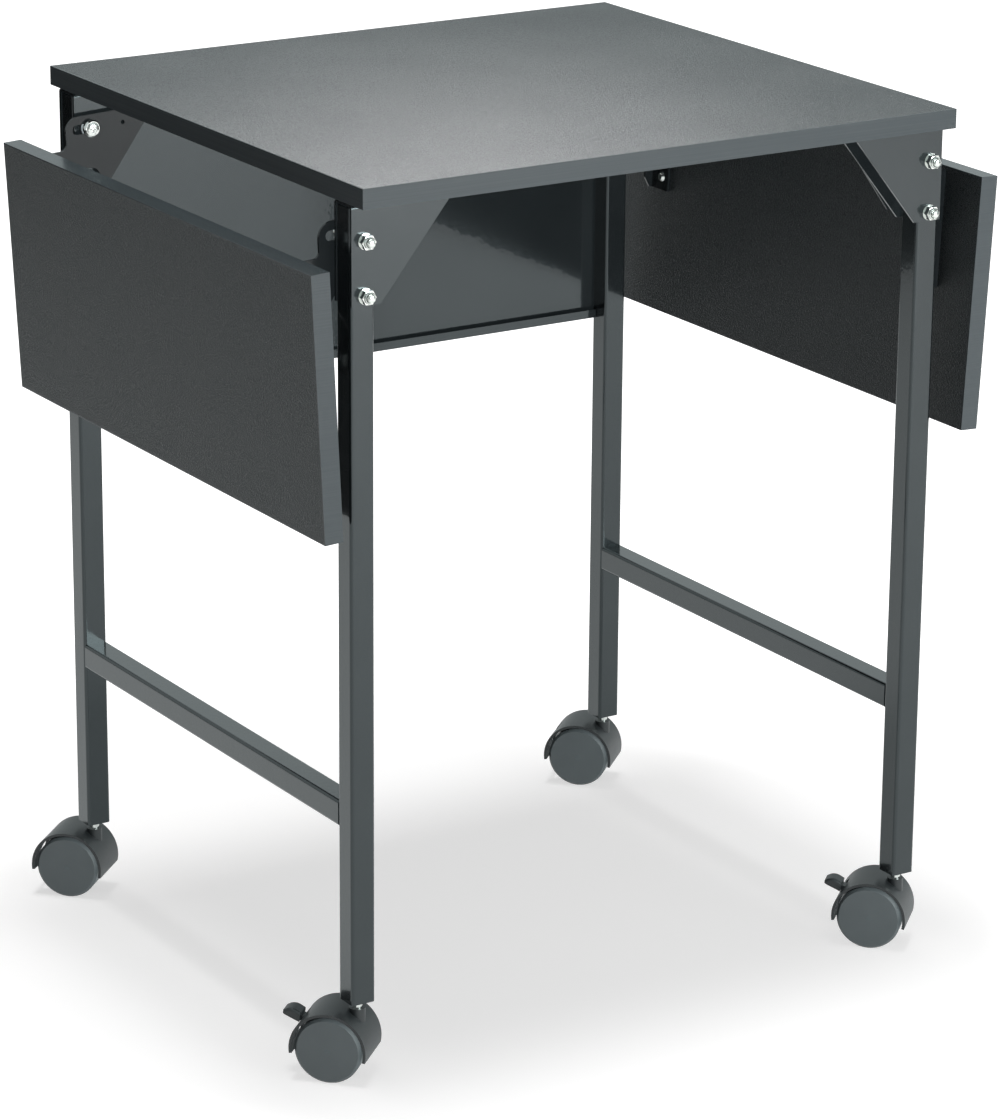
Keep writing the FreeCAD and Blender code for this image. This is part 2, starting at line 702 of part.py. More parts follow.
def make_fasteners():
    """Bolts, nuts, washers, bushings and the screws under the top."""
    pivot_seat = f"({PLATE_OFF} + plate_thick + 2 * side_gap)"
    pivot_bolt = make_bolt("pivot_bolt_pattern", "pivot_head_dia", "pivot_head_tall", pivot_seat)
    leg_bolt = make_bolt("leg_bolt_pattern", "leg_head_dia", "leg_head_tall", "bracket_thick")
    nodes["pivot_bolts"] = scatter("pivot_bolts", pivot_bolt, bolt_places(PIVOT_Z))
    nodes["leg_bolts"] = scatter("leg_bolts", leg_bolt, bolt_places(LEG_BOLT_Z))
    nodes["frame_washers"] = scatter("frame_washers", make_washer_pattern(), nut_places())
    nodes["frame_nuts"] = scatter("frame_nuts", make_nut_pattern(), nut_places())
    bushing = make_bushing_pattern()
    left_places, right_places = bolt_places(PIVOT_Z)[:2], bolt_places(PIVOT_Z)[2:]
    nodes["left_pivot_bushings"] = scatter("left_pivot_bushings", bushing, left_places)
    nodes["right_pivot_bushings"] = scatter("right_pivot_bushings", bushing, right_places)
    seat = f"{UNDERSIDE} - bracket_thick"
    web_places = [(x, y, seat, "0") for x, y in web_screw_spots()]
    nodes["bracket_screws"] = scatter("bracket_screws", screw_pattern, web_places)


def polar(radius, angle):
    """A point of the caster's side view, from the axle, in the YZ plane."""
    return (f"caster_trail + {radius} * cos(({angle}) * 1deg)",
            f"wheel_radius + {radius} * sin(({angle}) * 1deg)")


def off_ray(radius, aside, angle):
    """As polar, then square off that ray by aside."""
    return (f"caster_trail + {radius} * cos(({angle}) * 1deg) - ({aside}) * sin(({angle}) * 1deg)",
            f"wheel_radius + {radius} * sin(({angle}) * 1deg) + ({aside}) * cos(({angle}) * 1deg)")


def on_arm(along, above):
    """A point of the brake lever, from its pin along its arm and above the arm's middle."""
    y, z = polar("brake_pivot_reach", "brake_pivot_rise")
    lean = "(brake_tilt * 1deg)"
    return (f"{y} + ({along}) * cos{lean} - ({above}) * sin{lean}",
            f"{z} + ({along}) * sin{lean} + ({above}) * cos{lean}")


def make_caster_housing(corner):
    """Moulded hood over the wheels, a wall between them, an axle hub and a boss for the stem."""
    body = new_body(f"{corner}_caster_housing")
    hood = new_sketch(body, "YZ_Plane")
    draw_circle(hood, "caster_trail", "wheel_radius", HOOD_OUTSIDE)
    pad(hood, "hood_width", both_ways=True)
    for reverse in (False, True):
        side = "-" if reverse else ""
        hollow = new_sketch(body, "YZ_Plane", f"{side}web_thick / 2")
        draw_circle(hollow, "caster_trail", "wheel_radius", HOOD_INSIDE)
        pocket(hollow, "hood_width", reverse=not reverse)
    open_hood(body)
    add_lever_ears(body)
    hub = new_sketch(body, "YZ_Plane")
    draw_circle(hub, "caster_trail", "wheel_radius", "axle_boss_dia / 2")
    pad(hub, "wheel_space - 2 * side_gap", both_ways=True)
    boss = new_sketch(body, "XY_Plane", BOSS_TOP)
    draw_circle(boss, "0", "0", "stem_boss_dia / 2")
    pad(boss, "stem_grip + boss_floor", reverse=True)
    bore = new_sketch(body, "XY_Plane", BOSS_TOP)
    draw_circle(bore, "0", "0", "stem_dia / 2 + seat_gap")
    pocket(bore, "stem_grip")
    axle_hole = new_sketch(body, "YZ_Plane")
    draw_circle(axle_hole, "caster_trail", "wheel_radius", "axle_dia / 2 + seat_gap")
    pocket(axle_hole, "2 * hood_width", both_ways=True)
    set_on_caster(body, corner)


def open_hood(body):
    """Open a hood below, between the wheels on its trailing side, and for the lever."""
    axle = ("caster_trail", "wheel_radius")
    reach = f"(2 * {HOOD_OUTSIDE})"
    below = new_sketch(body, "YZ_Plane")
    draw_outline(below, [
        axle,
        polar(reach, "180 + hood_dip"),
        (f"caster_trail - {reach}", f"wheel_radius - {reach}"),
        (f"caster_trail + {reach}", f"wheel_radius - {reach}"),
        polar(reach, "-hood_tail"),
    ])
    pocket(below, "2 * hood_width", both_ways=True)
    clearing = new_sketch(body, "YZ_Plane")
    steps = 4
    rim = [
        polar(HOOD_INSIDE, f"{step} / {steps} * (web_start + hood_tail) - hood_tail")
        for step in range(steps + 1)
    ]
    draw_outline(clearing, [axle, *rim])
    pocket(clearing, "web_thick", both_ways=True)
    window = new_sketch(body, "YZ_Plane")
    draw_outline(window, [
        polar("wheel_radius", "window_low"),
        polar(reach, "window_low"),
        polar(reach, "window_high"),
        polar("wheel_radius", "window_high"),
    ])
    pocket(window, "window_width", both_ways=True)


def add_lever_ears(body):
    """Two ears under the hood that hold the brake lever's pin."""
    ear_inside = "(brake_arm_width / 2 + ear_gap)"
    half_ear = "(brake_hub_dia / 2)"
    seat = f"({HOOD_INSIDE} + hood_wall / 2)"
    pin = polar("brake_pivot_reach", "brake_pivot_rise")
    for reverse in (False, True):
        side = "-" if reverse else ""
        lug = new_sketch(body, "YZ_Plane", f"{side}{ear_inside}")
        draw_outline(lug, [
            off_ray("brake_pivot_reach", f"-{half_ear}", "brake_pivot_rise"),
            off_ray(seat, f"-{half_ear}", "brake_pivot_rise"),
            off_ray(seat, half_ear, "brake_pivot_rise"),
            off_ray("brake_pivot_reach", half_ear, "brake_pivot_rise"),
        ])
        pad(lug, "ear_thick", reverse)
        end = new_sketch(body, "YZ_Plane", f"{side}{ear_inside}")
        draw_circle(end, *pin, half_ear)
        pad(end, "ear_thick", reverse)
    hinge = new_sketch(body, "YZ_Plane")
    draw_circle(hinge, *pin, "brake_pin_dia / 2 + seat_gap")
    pocket(hinge, "wheel_space", both_ways=True)


def set_on_caster(body, corner):
    """Place a caster's piece, drawn about its stem with the axle along X, at its corner."""
    side, end = CORNERS[corner]
    place(body, f"{side} * {LEG_X}", f"{end} * {LEG_Y}", "0", angle="caster_swivel")
    nodes[body.Label] = body


def make_caster_stem(corner):
    body = new_body(f"{corner}_caster_stem")
    section = new_sketch(body, "XY_Plane", f"{BOSS_TOP} - stem_grip")
    draw_circle(section, "0", "0", "stem_dia / 2")
    rod = pad(section, "stem_grip + stem_show + stem_tall")
    doc.recompute()
    crest = rod.Shape.BoundBox.ZMax
    names = edges_where(rod, lambda edge: abs(edge.CenterOfMass.z - crest) < 1e-6)
    dress("Chamfer", rod, names, "Size", "stem_dia / 8")
    set_on_caster(body, corner)


def make_caster_axle(corner):
    body = new_body(f"{corner}_caster_axle")
    section = new_sketch(body, "YZ_Plane")
    draw_circle(section, "caster_trail", "wheel_radius", "axle_dia / 2")
    pad(section, "axle_length", both_ways=True)
    set_on_caster(body, corner)


def make_caster_wheel(corner, hand, side):
    """Wheel turned about the axle: flat tread, bevelled outer edge, domed closed face."""
    body = new_body(f"{corner}_caster_wheel_{hand}")
    half = new_sketch(body, "XY_Plane", "wheel_radius")
    inner = "wheel_space / 2"
    outer = f"({inner} + wheel_width)"
    bore = "(axle_dia / 2 + running_gap)"
    profile = [
        (inner, bore),
        (inner, "wheel_radius"),
        (f"{outer} - wheel_crown - wheel_bevel", "wheel_radius"),
        (f"{outer} - wheel_crown", "wheel_radius - wheel_bevel"),
        (outer, "0"),
        ("axle_length / 2 + side_gap", "0"),
        ("axle_length / 2 + side_gap", bore),
    ]
    draw_outline(half, [(f"{side} * ({x})", f"caster_trail + {y}") for x, y in profile])
    hub_line = half.addGeometry(Part.LineSegment(Vector(0, 1, 0), Vector(1, 1, 0)), True)
    tie_point(half, hub_line, 1, "0", "caster_trail")
    tie_point(half, hub_line, 2, "1", "caster_trail")
    spin(half, "Axis0")
    set_on_caster(body, corner)


def make_brake(corner):
    """Brake lever through the hood's window: a hub on a pin, an arm and a humped paddle."""
    pin = new_body(f"{corner}_brake_pin")
    section = new_sketch(pin, "YZ_Plane")
    pivot = polar("brake_pivot_reach", "brake_pivot_rise")
    draw_circle(section, *pivot, "brake_pin_dia / 2")
    pad(section, "brake_arm_width + 2 * ear_gap + 2 * ear_thick", both_ways=True)
    set_on_caster(pin, corner)
    lever = new_body(f"{corner}_brake_lever")
    half = "brake_arm_thick / 2"
    hub = new_sketch(lever, "YZ_Plane")
    draw_circle(hub, *pivot, "brake_hub_dia / 2")
    pad(hub, "brake_arm_width", both_ways=True)
    arm = new_sketch(lever, "YZ_Plane")
    draw_outline(arm, [
        on_arm("0", f"-{half}"),
        on_arm("arm_length", f"-{half}"),
        on_arm("arm_length", half),
        on_arm("0", half),
    ])
    pad(arm, "brake_arm_width", both_ways=True)
    paddle = new_sketch(lever, "YZ_Plane")
    draw_outline(paddle, [
        on_arm("paddle_start", f"-{half}"),
        on_arm("paddle_start + paddle_length", f"paddle_tip - {half}"),
        on_arm("paddle_start + paddle_length", "paddle_tip"),
        on_arm("paddle_start + paddle_peak", "paddle_crest"),
        on_arm("paddle_start", "paddle_root"),
    ])
    blade = pad(paddle, "paddle_width", both_ways=True)
    round_paddle(blade)
    bore = new_sketch(lever, "YZ_Plane")
    draw_circle(bore, *pivot, "brake_pin_dia / 2 + running_gap")
    pocket(bore, "2 * brake_arm_width", both_ways=True)
    set_on_caster(lever, corner)


def round_paddle(blade):
    """Round a paddle over its crest and down its two outer corners."""
    doc.recompute()
    crest = blade.Shape.BoundBox.ZMax
    across = Vector(1, 0, 0)

    def top_edge(edge):
        return runs_along(edge, across) and abs(edge.CenterOfMass.z - crest) < 1e-3

    rounded = dress("Fillet", blade, edges_where(blade, top_edge), "Radius", "crest_round")
    doc.recompute()
    tip = rounded.Shape.BoundBox.YMax
    side = rounded.Shape.BoundBox.XMax

    def corner_edge(edge):
        spot = edge.CenterOfMass
        straight = edge.Curve.TypeId == "Part::GeomLine" and not runs_along(edge, across)
        return straight and abs(abs(spot.x) - side) < 1e-3 and tip - spot.y < size("paddle_tip") / 2

    dress("Fillet", rounded, edges_where(rounded, corner_edge), "Radius", "paddle_round")


def make_casters():
    """A housing, stem, axle and two wheels at each corner, and the sockets in the legs."""
    for corner in CORNERS:
        make_caster_housing(corner)
        make_caster_stem(corner)
        make_caster_axle(corner)
        make_caster_wheel(corner, "a", -1)
        make_caster_wheel(corner, "b", 1)
    for corner in BRAKED:
        make_brake(corner)
    socket = new_body("socket_pattern")
    section = new_sketch(socket, "XY_Plane")
    half = "(tube_size / 2 - tube_wall - seat_gap)"
    draw_box(section, f"-{half}", half, f"-{half}", half)
    draw_circle(section, "0", "0", "stem_dia / 2 + running_gap")
    pad(section, "socket_length")
    feet = [(f"{side} * {LEG_X}", f"{end} * {LEG_Y}", LEG_END, "0") for side, end in CORNERS.values()]
    nodes["caster_sockets"] = scatter("caster_sockets", socket, feet)


def check_and_write():
    """Stop on any failed object, then write one file per node."""
    doc.recompute()
    for each in doc.Objects:
        if "Invalid" in each.State or "Error" in each.State:
            raise RuntimeError(f"{each.Name} failed: {each.State}")
    os.makedirs("parts", exist_ok=True)
    for name, thing in nodes.items():
        shape = thing.Shape
        if shape.isNull() or not shape.isValid():
            raise RuntimeError(f"{name} has no valid shape")
        shape.exportStep(f"parts/{name}.step")


fill_sheet()
screw_pattern = make_screw_pattern()
make_top()
make_legs()
make_rails()
make_corner_bracket("front_right_corner_bracket", -1, "0")
make_corner_bracket("rear_right_corner_bracket", 1, "panel_thick")
make_back_panel()
make_fasteners()
make_leaves()
make_casters()
check_and_write()
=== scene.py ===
import math

import bmesh
import bpy
from mathutils import Matrix, Vector


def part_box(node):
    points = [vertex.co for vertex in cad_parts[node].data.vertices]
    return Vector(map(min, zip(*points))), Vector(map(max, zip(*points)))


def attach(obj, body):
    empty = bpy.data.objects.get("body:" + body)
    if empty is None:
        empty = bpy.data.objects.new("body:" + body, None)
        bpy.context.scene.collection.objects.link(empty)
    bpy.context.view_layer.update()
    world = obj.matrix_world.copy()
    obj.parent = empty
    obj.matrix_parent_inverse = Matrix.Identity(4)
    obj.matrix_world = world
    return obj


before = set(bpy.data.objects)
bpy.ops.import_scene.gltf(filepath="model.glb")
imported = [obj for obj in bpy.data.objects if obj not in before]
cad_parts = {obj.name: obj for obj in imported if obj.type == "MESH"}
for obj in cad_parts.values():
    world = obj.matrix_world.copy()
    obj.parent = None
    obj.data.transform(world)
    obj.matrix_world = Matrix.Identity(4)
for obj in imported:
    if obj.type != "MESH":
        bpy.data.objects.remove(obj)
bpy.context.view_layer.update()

bl_info = {
    "name": "Typewriter Table",
    "version": (1, 0, 0),
    "blender": (4, 5, 0),
    "location": "View3D > Sidebar > Typewriter Table",
    "description": "Dresses a rolling drop leaf table and sets up its studio",
    "category": "Object",
}

TABLE_TOP = "top_board"
LEAVES = ("left_leaf_board", "right_leaf_board")
EDGE_BANDS = ("top_edge_band", "left_leaf_edge_band", "right_leaf_edge_band")
CORNERS = ("front_left", "front_right", "rear_left", "rear_right")
BRAKED = ("front_left", "front_right")
FRAME_STEEL = tuple(f"{corner}_{part}" for part in ("leg", "corner_bracket")
                    for corner in CORNERS) + ("left_side_rail", "right_side_rail")
BOLTS = ("pivot_bolts", "leg_bolts", "frame_washers", "frame_nuts")
SCREWS = ("bracket_screws", "left_leaf_screws", "right_leaf_screws")
BUSHINGS = ("left_pivot_bushings", "right_pivot_bushings")

# The nuts stand in pairs at the four corners, on faces given by their y and by the way they look.
NUT_ASIDE = 0.249
NUT_HEIGHTS = (0.646, 0.606)
NUT_FACES = ((-0.2322, -1), (0.2334, 1))
BOLT_END = 0.2359
# The heads of the pivot bolts look to the table's middle. The leg bolts' heads below them stay
# plain, because the raised leaves' plates pass close over them.
HEAD_FACE = 0.1918
HEAD_HEIGHT = NUT_HEIGHTS[0]
HEAD_RADIUS = 0.0054

# Turned profiles, as radius and height above the face they stand on.
COLLAR = ((0.0034, -0.0004), (0.0045, -0.0004), (0.0045, 0.0010), (0.0042, 0.0016),
          (0.0038, 0.0018), (0.0034, 0.0016))
INSERT = ((0.0030, -0.0002), (0.0034, -0.0002), (0.0034, 0.0013), (0.0032, 0.0014),
          (0.0030, 0.0012))
BUTTON = ((0.0, -0.0004), (0.0029, -0.0004), (0.0029, 0.0), (0.0026, 0.0004), (0.0017, 0.0007),
          (0.0, 0.0008))
TURNED_STEPS = 36
SAME_POINT = 1e-6

# The domed heads are grids of small cells. The cross has flat ends, and its floor lies just
# above the head's face.
DOME_CELL = 0.0002
DOME_RISE = 0.0009
CROSS_HALF_WIDTH = 0.0005
CROSS_REACH = 0.0028
CROSS_FLOOR = 0.0001

# Edges sharper than these are rounded on CAD pieces and stay creased on the pieces made here.
ROUNDED_FROM = math.radians(35)
CREASED_FROM = math.radians(40)

# How often a pattern repeats in a metre, so that 1000 stands for a millimetre.
LAMINATE_CLOUD = 9.0
EDGING_LINES = (4.0, 4.0, 900.0)
EDGING_MOTTLE = 300.0
PLATING_PATCH = 260.0
TOOL_MARK = 1400.0
NYLON_FLOW = 45.0
FLAG_MOTTLE = 60.0
FLOOR_CLOUD = 2.0

# The laminate's roughness where its specks are smoothest and roughest, as shares of its setting,
# and how much darker than its colour the pits between the pebbles are painted, as painted shade.
SMOOTH_SPECK, ROUGH_SPECK = 0.5, 1.7
PIT_SHADE = 0.85

# Enamel also flows in slow waves, given by how often they come and how high they are beside the
# orange peel. The peel's depth is a share of its spacing, and so is the depth of nylon's grain.
FLOW_RATE, FLOW_HEIGHT = 0.12, 2.5
PEEL_DEPTH = 0.03
GRAIN_DEPTH = 0.3

RESIN_IOR = 1.5
NYLON_IOR = 1.53
# Nylon's real grain is under 0.1 mm. It is drawn this coarse so that it shows.
HOOD_TEXTURE = {"roughness": 0.4, "grain": 0.0009}
WHEEL_TEXTURE = {"roughness": 0.5, "grain": 0.0007}
SOCKET_TEXTURE = {"roughness": 0.5, "grain": 0.0009}
INSERT_TEXTURE = {"roughness": 0.45, "grain": 0.0006}

# The front faces mirror the floor that lies this way from the table, and the left faces mirror
# the floor on the opposite side. The floor glows for glossy rays, and this painted reflection
# fades between two distances each way; a dark flag across the opposite side paints shade into
# them.
MIRRORED_WAY = (0.53, -0.85, 0.0)
SIDEWAYS = (0.85, 0.53, 0.0)
FADE_BEHIND = (-2.6, -1.5)
FADE_IN_FRONT = (1.6, 2.6)
FLAG_SPAN = (-4.6, -2.35)
FLAG_HALF_WIDTH = 1.5
FLAG_HEIGHT = 0.002

FLOOR_STEPS = 8
SHEEN_COLOUR = "#fffbfc"
WHITE = (1.0, 1.0, 1.0, 1.0)
# The Mix node repeats its socket names for each kind of value, so its colours go by number.
MIX_FACTOR, MIX_FIRST, MIX_SECOND, MIX_RESULT = 0, 6, 7, 2


def linear(code):
    """The linear RGBA of an sRGB hex colour."""
    shares = [int(code[i:i + 2], 16) / 255 for i in (1, 3, 5)]
    return tuple(s / 12.92 if s <= 0.04045 else ((s + 0.055) / 1.055) ** 2.4
                 for s in shares) + (1.0,)


def colour_setting(name, code, description):
    """A colour that a user may change, given as sRGB hex."""
    return bpy.props.FloatVectorProperty(name=name, description=description, subtype="COLOR",
                                         size=4, min=0.0, max=1.0, default=linear(code))


def share_setting(name, default, description):
    """A share from 0 to 1 that a user may change."""
    return bpy.props.FloatProperty(name=name, description=description, subtype="FACTOR",
                                   min=0.0, max=1.0, default=default)


def length_setting(name, default, description):
    """A length in metres that a user may change."""
    return bpy.props.FloatProperty(name=name, description=description, subtype="DISTANCE",
                                   unit="LENGTH", min=0.0, precision=5, default=default)


def place_setting(name, default, description):
    """A place in metres that a user may change."""
    return bpy.props.FloatVectorProperty(name=name, description=description,
                                         subtype="TRANSLATION", unit="LENGTH", default=default)


def power_setting(name, default, description):
    """A lamp's power in watts that a user may change."""
    return bpy.props.FloatProperty(name=name, description=description, subtype="POWER",
                                   unit="POWER", min=0.0, default=default)


def angle_setting(name, degrees, description):
    """An angle that a user may change, given in degrees."""
    return bpy.props.FloatProperty(name=name, description=description, subtype="ANGLE",
                                   default=math.radians(degrees))


def emptied(owner):
    """A material or world that uses nodes, without the ones it starts with."""
    owner.use_nodes = True
    owner.node_tree.nodes.clear()
    return owner


def add_node(material, kind, inputs=None, **settings):
    """Adds a node with its settings, and joins or fills the inputs that are named."""
    node = material.node_tree.nodes.new("ShaderNode" + kind)
    for name, value in settings.items():
        setattr(node, name, value)
    for socket, value in (inputs or {}).items():
        if isinstance(value, bpy.types.NodeSocket):
            material.node_tree.links.new(value, node.inputs[socket])
        else:
            node.inputs[socket].default_value = value
    return node


def new_material(name):
    """A material to fill with nodes. Returns it and the output for the place on the piece."""
    material = emptied(bpy.data.materials.new(name))
    return material, add_node(material, "TexCoord").outputs["Object"]


def surfaced(material, shader, inputs):
    """Puts a shader on the material's output. Returns the material."""
    surface = add_node(material, shader, inputs)
    add_node(material, "OutputMaterial", {"Surface": surface.outputs[0]})
    return material


def toned(material, factor, colour, dark, light=0.0):
    """The output of a colour that a factor takes from a shade darker to a shade lighter."""
    darker = tuple(c * (1 - dark) for c in colour[:3]) + (1.0,)
    lighter = tuple(c + (1 - c) * light for c in colour[:3]) + (1.0,)
    return add_node(material, "Mix", {
        MIX_FACTOR: factor, MIX_FIRST: darker, MIX_SECOND: lighter},
        data_type="RGBA").outputs[MIX_RESULT]


def air_hue(owner, ray, setup):
    """The output of the air's colour, which is white to the camera."""
    return add_node(owner, "Mix", {
        MIX_FACTOR: ray.outputs["Is Camera Ray"], MIX_FIRST: tuple(setup.air_colour),
        MIX_SECOND: WHITE}, data_type="RGBA").outputs[MIX_RESULT]


def textured_laminate(settings, name, sparkle):
    """Melamine laminate pressed against a pebbled plate."""
    # The low pebbles break the sheen into fine specks, and the colour drifts a little between
    # them.
    material, place = new_material(name)
    pebbles = add_node(material, "TexVoronoi", {
        "Vector": place, "Scale": 1 / settings.pebble, "Randomness": 1.0}, feature="SMOOTH_F1")
    grit = add_node(material, "TexNoise", {
        "Vector": place, "Scale": 2 / settings.pebble, "Detail": 3.0, "Roughness": 0.6})
    cloud = add_node(material, "TexNoise", {
        "Vector": place, "Scale": LAMINATE_CLOUD, "Detail": 2.0})
    relief = add_node(material, "Math", {
        0: pebbles.outputs["Distance"], 1: grit.outputs["Fac"]}, operation="ADD")
    bump = add_node(material, "Bump", {
        "Height": relief.outputs[0], "Strength": 0.8, "Distance": settings.pebble_depth})
    specks = add_node(material, "MapRange", {
        "Value": grit.outputs["Fac"], "From Min": 0.38, "From Max": 0.62})
    matt = add_node(material, "MapRange", {
        "Value": specks.outputs[0], "To Min": settings.laminate_roughness * SMOOTH_SPECK,
        "To Max": settings.laminate_roughness * ROUGH_SPECK})
    # The specks' colour is painted light: painted shade in the pebbles' pits and a painted glint
    # on their high points.
    fine = toned(material, specks.outputs[0], settings.laminate_colour,
                 dark=PIT_SHADE, light=sparkle)
    tone = add_node(material, "Mix", {
        MIX_FACTOR: cloud.outputs["Fac"], MIX_FIRST: fine,
        MIX_SECOND: tuple(settings.laminate_colour)}, data_type="RGBA")
    return surfaced(material, "BsdfPrincipled", {
        "Base Color": tone.outputs[MIX_RESULT], "Roughness": matt.outputs[0], "IOR": RESIN_IOR,
        "Specular IOR Level": 0.26, "Normal": bump.outputs["Normal"]})


def satin_edging(settings):
    """Thin plastic edging, extruded and glued on hot."""
    # Smoother than the laminate and a shade paler, with faint level lines from the die. The real
    # lines are finer than these, which are drawn coarser so that they show.
    material, place = new_material("satin_edging")
    drawn = add_node(material, "Mapping", {"Vector": place, "Scale": EDGING_LINES})
    lines = add_node(material, "TexNoise", {
        "Vector": drawn.outputs[0], "Scale": 1.0, "Detail": 2.0, "Roughness": 0.5})
    mottle = add_node(material, "TexNoise", {
        "Vector": place, "Scale": EDGING_MOTTLE, "Detail": 3.0})
    relief = add_node(material, "Math", {
        0: lines.outputs["Fac"], 1: mottle.outputs["Fac"]}, operation="ADD")
    bump = add_node(material, "Bump", {
        "Height": relief.outputs[0], "Strength": 0.2, "Distance": 0.0002})
    tone = toned(material, lines.outputs["Fac"], settings.edging_colour, dark=0.1, light=0.02)
    return surfaced(material, "BsdfPrincipled", {
        "Base Color": tone, "Roughness": settings.edging_roughness, "IOR": RESIN_IOR,
        "Specular IOR Level": 0.35, "Normal": bump.outputs["Normal"]})


def gloss_enamel(settings, name, ripple, coat=0.45, tint="#eafbff"):
    """Baked enamel sprayed on bare steel."""
    # A wet looking black whose slight orange peel bends the edge of each reflection.
    material, place = new_material(name)
    peel = add_node(material, "TexNoise", {
        "Vector": place, "Scale": 1 / ripple, "Detail": 2.0, "Roughness": 0.45})
    flow = add_node(material, "TexNoise", {
        "Vector": place, "Scale": FLOW_RATE / ripple, "Detail": 1.0})
    relief = add_node(material, "Math", {
        0: flow.outputs["Fac"], 1: FLOW_HEIGHT, 2: peel.outputs["Fac"]}, operation="MULTIPLY_ADD")
    bump = add_node(material, "Bump", {
        "Height": relief.outputs[0], "Strength": 0.3, "Distance": PEEL_DEPTH * ripple})
    tone = toned(material, flow.outputs["Fac"], settings.enamel_colour, dark=0.15, light=0.006)
    return surfaced(material, "BsdfPrincipled", {
        "Base Color": tone, "Roughness": settings.enamel_roughness, "IOR": RESIN_IOR,
        "Specular Tint": linear(tint), "Normal": bump.outputs["Normal"], "Coat Weight": coat,
        "Coat Roughness": 0.04, "Coat IOR": RESIN_IOR, "Coat Normal": bump.outputs["Normal"]})


def bright_zinc(settings):
    """Steel fasteners, cold headed and zinc plated."""
    # Bright with soft patches where the plating took differently.
    material, place = new_material("bright_zinc")
    patches = add_node(material, "TexNoise", {
        "Vector": place, "Scale": PLATING_PATCH, "Detail": 3.0})
    shine = add_node(material, "MapRange", {
        "Value": patches.outputs["Fac"], "From Min": 0.3, "From Max": 0.7,
        "To Min": 0.08, "To Max": 0.22})
    bump = add_node(material, "Bump", {
        "Height": patches.outputs["Fac"], "Strength": 0.15, "Distance": 0.0002})
    tone = toned(material, patches.outputs["Fac"], settings.zinc_colour, dark=0.18)
    return surfaced(material, "BsdfPrincipled", {
        "Base Color": tone, "Metallic": 1.0, "Roughness": shine.outputs[0],
        "Normal": bump.outputs["Normal"]})


def turned_steel(settings):
    """Plain steel, turned on a lathe and left bare."""
    # Duller than the plating, with a fine tooth left by the tool. The real tooth is finer and is
    # drawn coarser so that it shows.
    material, place = new_material("turned_steel")
    tooth = add_node(material, "TexNoise", {"Vector": place, "Scale": TOOL_MARK, "Detail": 1.0})
    bump = add_node(material, "Bump", {
        "Height": tooth.outputs["Fac"], "Strength": 0.3, "Distance": 0.0001})
    tone = toned(material, tooth.outputs["Fac"], settings.steel_colour, dark=0.2)
    return surfaced(material, "BsdfPrincipled", {
        "Base Color": tone, "Metallic": 1.0, "Roughness": 0.34,
        "Normal": bump.outputs["Normal"]})


def moulded_nylon(name, colour, roughness, grain):
    """Nylon, injection moulded in a lightly sparked tool."""
    # A soft even grey whose fine grain takes the edge off every highlight.
    material, place = new_material(name)
    spark = add_node(material, "TexNoise", {
        "Vector": place, "Scale": 1 / grain, "Detail": 4.0, "Roughness": 0.65})
    flow = add_node(material, "TexNoise", {"Vector": place, "Scale": NYLON_FLOW, "Detail": 2.0})
    bump = add_node(material, "Bump", {
        "Height": spark.outputs["Fac"], "Strength": 0.25, "Distance": GRAIN_DEPTH * grain})
    tone = toned(material, flow.outputs["Fac"], colour, dark=0.12, light=0.012)
    return surfaced(material, "BsdfPrincipled", {
        "Base Color": tone, "Roughness": roughness, "IOR": NYLON_IOR,
        "Normal": bump.outputs["Normal"]})


def painted_dark_reflection():
    """A dark, slightly uneven colour for the flag that only glossy surfaces see: painted shade in
    the reflections.
    """
    material, place = new_material("painted_dark_reflection")
    unevenness = add_node(material, "TexNoise", {"Vector": place, "Scale": FLAG_MOTTLE, "Detail": 3.0})
    tone = add_node(material, "Mix", {
        MIX_FACTOR: unevenness.outputs["Fac"], MIX_FIRST: linear("#050505"),
        MIX_SECOND: linear("#0d0d0d")}, data_type="RGBA")
    return surfaced(material, "BsdfDiffuse", {"Color": tone.outputs[MIX_RESULT]})


def studio_floor(setup):
    """Painted board that keeps the shadow and reads as white to the camera."""
    material, place = new_material("studio_floor")
    cloud = add_node(material, "TexNoise", {"Vector": place, "Scale": FLOOR_CLOUD, "Detail": 2.0})
    tone = toned(material, cloud.outputs["Fac"], setup.floor_colour, dark=0.01)
    lit = add_node(material, "BsdfDiffuse", {"Color": tone})
    ray = add_node(material, "LightPath")
    mirrored = add_node(material, "Math", {
        0: ray.outputs["Is Glossy Ray"], 1: ray.outputs["Is Transmission Ray"]},
        operation="MAXIMUM")
    # The glow that glossy rays see is a painted pool of light. It ends behind the table and in
    # front of it, so reflections fade both ways.
    along = add_node(material, "VectorMath", {0: place, 1: MIRRORED_WAY}, operation="DOT_PRODUCT")
    behind = add_node(material, "MapRange", {
        "Value": along.outputs["Value"], "From Min": FADE_BEHIND[0], "From Max": FADE_BEHIND[1],
        "To Max": setup.floor_lift})
    in_front = add_node(material, "MapRange", {
        "Value": along.outputs["Value"], "From Min": FADE_IN_FRONT[0],
        "From Max": FADE_IN_FRONT[1], "To Min": setup.floor_lift, "To Max": 0.0})
    pool = add_node(material, "Math", {
        0: behind.outputs[0], 1: in_front.outputs[0]}, operation="MINIMUM")
    pooled = add_node(material, "Math", {
        0: mirrored.outputs[0], 1: pool.outputs[0]}, operation="MULTIPLY")
    # To the camera the floor is whiter with the distance from the table.
    away = add_node(material, "VectorMath", {0: place}, operation="LENGTH")
    share = add_node(material, "MapRange", {
        "Value": away.outputs["Value"], "From Min": setup.pool_reach / 2,
        "From Max": setup.pool_reach, "To Min": setup.floor_lift, "To Max": 1.0})
    lift = add_node(material, "Math", {
        0: ray.outputs["Is Camera Ray"], 1: share.outputs[0], 2: pooled.outputs[0]},
        operation="MULTIPLY_ADD")
    white = add_node(material, "Emission", {
        "Color": air_hue(material, ray, setup), "Strength": lift.outputs[0]})
    return surfaced(material, "AddShader", {0: lit.outputs[0], 1: white.outputs[0]})


